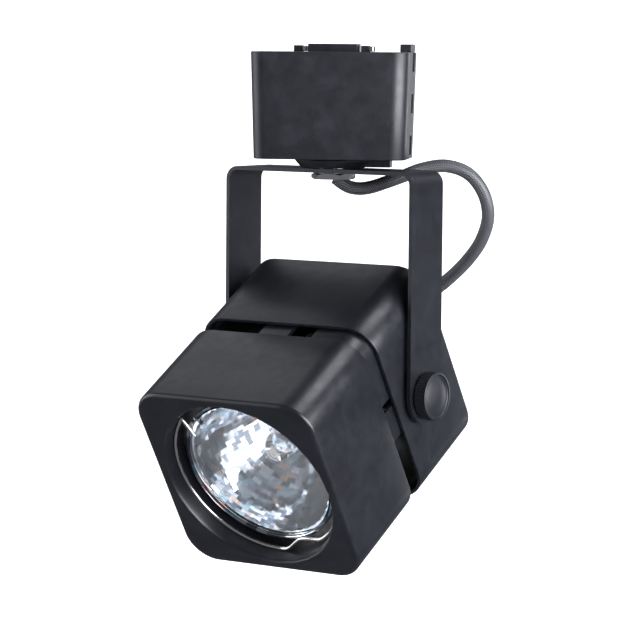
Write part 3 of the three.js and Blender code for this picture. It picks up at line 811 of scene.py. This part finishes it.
def make_screw(index, x, y):
    """A pan-head screw with a cross recess."""
    face = REAR_FACE
    dome = [(0.3, face - 1.9), (1.0, face - 1.85), (1.8, face - 1.6), (2.4, face - 1.2), (2.8, face - 0.7)]
    dome += [(2.9, face - GAP), (1.45, face - GAP), (1.45, -10.0)]
    place = AXIS @ Matrix.Translation((x, y, 0))
    screw = raw(f"bracket_screw_{index}_form", *turned(dome, 48), place)
    slots = [box_mesh((-1.5, -0.28, face - 3), (1.5, 0.28, face - 1.0))]
    slots.append(box_mesh((-0.28, -1.5, face - 3), (0.28, 1.5, face - 1.0)))
    combine(screw, "DIFFERENCE", *(raw("cutter", *slot, place) for slot in slots))
    stand_for(screw, f"bracket_screw_{index}", crease=35)


make_gland()
for number, (x, y) in enumerate(SCREW_SPOTS, 1):
    make_screw(number, x, y)


# ---------------------------------------------------------------- track adapter
TOP_WIDTH, FOOT_WIDTH, DEPTH = 47.9, 46.0, 30.0
ADAPTER_CORNER = 4.6
ADAPTER_WALL = 2.0
SLOT_PITCH, SLOT_HEIGHT, SLOT_DEPTH = 12.6, 5.8, 6.0
adapter_foot = span("adapter_front_shell", ADAPTER)[0].z


def adapter_loop(inset, z):
    share = 1 + (FOOT_WIDTH / TOP_WIDTH - 1) * z / adapter_foot
    width, depth = (TOP_WIDTH - 2 * inset) * share, (DEPTH - 2 * inset) * share
    return rounded_square(width, depth, ADAPTER_CORNER - 0.8 * inset, z, 10, 4)


def casing():
    edge = 0.35
    outer = [(edge, adapter_foot), (edge * 0.3, adapter_foot + edge * 0.3), (0, adapter_foot + edge)]
    outer += [(0, -edge), (edge * 0.3, -edge * 0.3), (edge, 0)]
    body = raw("casing", *skin([adapter_loop(inset, z) for inset, z in outer]), ADAPTER)
    inside = [adapter_loop(ADAPTER_WALL, z) for z in (adapter_foot + ADAPTER_WALL, -ADAPTER_WALL)]
    tools = [raw("cutter", *skin(inside), ADAPTER)]
    tools.append(raw("cutter", *turned([(13, -3), (13, 2)], 96), ADAPTER))
    tools.append(raw("cutter", *turned([(7.8, adapter_foot - 1), (7.8, adapter_foot + 3)], 96), ADAPTER))
    return combine(body, "DIFFERENCE", *tools)


def make_adapter_shells():
    front = casing()
    front.name = "adapter_front_shell_form"
    half = raw("cutter", *box_mesh((-40, -40, -60), (40, -GAP / 2, 20)), ADAPTER)
    stand_for(combine(front, "INTERSECT", half), "adapter_front_shell", bevel=0.1)
    back = casing()
    back.name = "adapter_back_shell_form"
    half = raw("cutter", *box_mesh((-40, GAP / 2, -60), (40, 40, 20)), ADAPTER)
    combine(back, "INTERSECT", half)
    slots = []
    inner = FOOT_WIDTH / 2 - ADAPTER_WALL - 1
    for side in (-1, 1):
        for row in range(3):
            top = 1 if row == 0 else -row * SLOT_PITCH
            ends = sorted((side * inner, side * 40))
            corners = (ends[0], -1, -row * SLOT_PITCH - SLOT_HEIGHT), (ends[1], SLOT_DEPTH, top)
            slots.append(raw("cutter", *box_mesh(*corners), ADAPTER))
    combine(back, "DIFFERENCE", *slots)
    stand_for(back, "adapter_back_shell", bevel=0.1)


def soft_block(node, bevel=0.25):
    low, high = span(node, ADAPTER)
    stand_for(raw(f"{node}_form", *box_mesh(low, high), ADAPTER), node, bevel=bevel)


SLEEVE_BORE, SLEEVE_RADIUS = 5.7, 7.5
COLLAR_FOOT_RADIUS, COLLAR_TOP_RADIUS = 10, 11.7


def make_lock():
    low, high = span("lock_collar", ADAPTER)
    top = adapter_foot - GAP
    foot = low.z
    profile = [(SLEEVE_BORE, foot), (COLLAR_FOOT_RADIUS - 0.3, foot), (COLLAR_FOOT_RADIUS, foot + 0.15)]
    profile += [(COLLAR_TOP_RADIUS - 0.15, top - 0.45), (COLLAR_TOP_RADIUS, top - 0.2)]
    profile += [(COLLAR_TOP_RADIUS - 0.1, top), (SLEEVE_RADIUS, top)]
    profile += [(SLEEVE_RADIUS, high.z), (SLEEVE_BORE, high.z)]
    collar = raw("lock_collar_form", *hollow(profile), ADAPTER)
    lever = raw("cutter", *box_mesh((8.2, -3.25, top - 2.2), (high.x, 3.25, top)), ADAPTER)
    stand_for(combine(collar, "UNION", lever), "lock_collar", bevel=0.2)


def make_turret():
    low, high = span("contact_turret", ADAPTER)
    disc = raw("contact_turret_form", *turned([(high.x, low.z), (high.x, -0.2)]), ADAPTER)
    blocks = [((-7.4, -5, -1), (7.4, 5, high.z))]
    blocks += [((-12, -3, -1), (-9.8, 3, 1.9)), ((8.4, -3, -1), (10.6, 3, 1.9))]
    parts = [raw("cutter", *box_mesh(*corners), ADAPTER) for corners in blocks]
    stand_for(combine(disc, "UNION", *parts), "contact_turret", bevel=0.3)


make_adapter_shells()
make_lock()
make_turret()
for node, bevel in (("polarity_key", 0.3), ("live_contact", 0.25), ("neutral_contact", 0.25)):
    soft_block(node, bevel)


# ---------------------------------------------------------------- studio
def make_stage():
    """A pale floor that curves up into a backdrop behind the object."""
    floor, back, side, cove = -0.36, 2.2, 10.0, 1.2
    profile = [(-10.0, floor), (back - cove, floor)]
    for a in np.linspace(0.1, 1.57, 16):
        profile.append((back - cove + cove * math.sin(a), floor + cove * (1 - math.cos(a))))
    profile += [(back, 4.0)]
    verts = [(x, y, z) for y, z in profile for x in (-side, side)]
    faces = [(2 * i, 2 * i + 1, 2 * i + 3, 2 * i + 2) for i in range(len(profile) - 1)]
    mesh = bpy.data.meshes.new("backdrop")
    mesh.from_pydata(verts, [], faces)
    mesh.shade_smooth()
    backdrop = bpy.data.objects.new("backdrop", mesh)
    bpy.context.scene.collection.objects.link(backdrop)
    paper = new_material("paper", (0.9, 0.9, 0.9), 0.9, Emission_Strength=0.75)
    shader_of(paper).inputs["Emission Color"].default_value = (1, 1, 1, 1)
    mesh.materials.append(paper)
    backdrop.visible_glossy = False      # or the black surfaces would mirror it


def softbox(name, place, size, power, color=(0.93, 0.955, 1.0), aim=(0, 0, -0.08)):
    light = bpy.data.lights.new(name, "AREA")
    light.shape = "RECTANGLE"
    light.size, light.size_y = size
    light.energy = power
    light.color = color
    lamp = bpy.data.objects.new(name, light)
    lamp.location = place
    lamp.rotation_euler = (Vector(aim) - Vector(place)).to_track_quat("-Z", "Y").to_euler()
    bpy.context.scene.collection.objects.link(lamp)


def make_lights():
    world = bpy.data.worlds.new("studio")
    world.use_nodes = True
    world.node_tree.nodes["Background"].inputs["Color"].default_value = (0.84, 0.88, 1.0, 1)
    world.node_tree.nodes["Background"].inputs["Strength"].default_value = 0.18
    bpy.context.scene.world = world
    softbox("key", (1.02, -0.72, 0.1), (1.3, 0.8), 52)
    softbox("top", (0.5, 0.0, 0.9), (0.5, 0.5), 5)
    softbox("crown_highlight", (-0.45, 0.65, 0.95), (0.9, 0.9), 2)
    softbox("rim", (0.7, 1.2, 0.05), (0.35, 0.9), 4)
    softbox("left", (-1.25, -0.05, 0.0), (1.0, 1.2), 12)
    bpy.context.scene.view_settings.view_transform = "Standard"


make_stage()
make_lights()
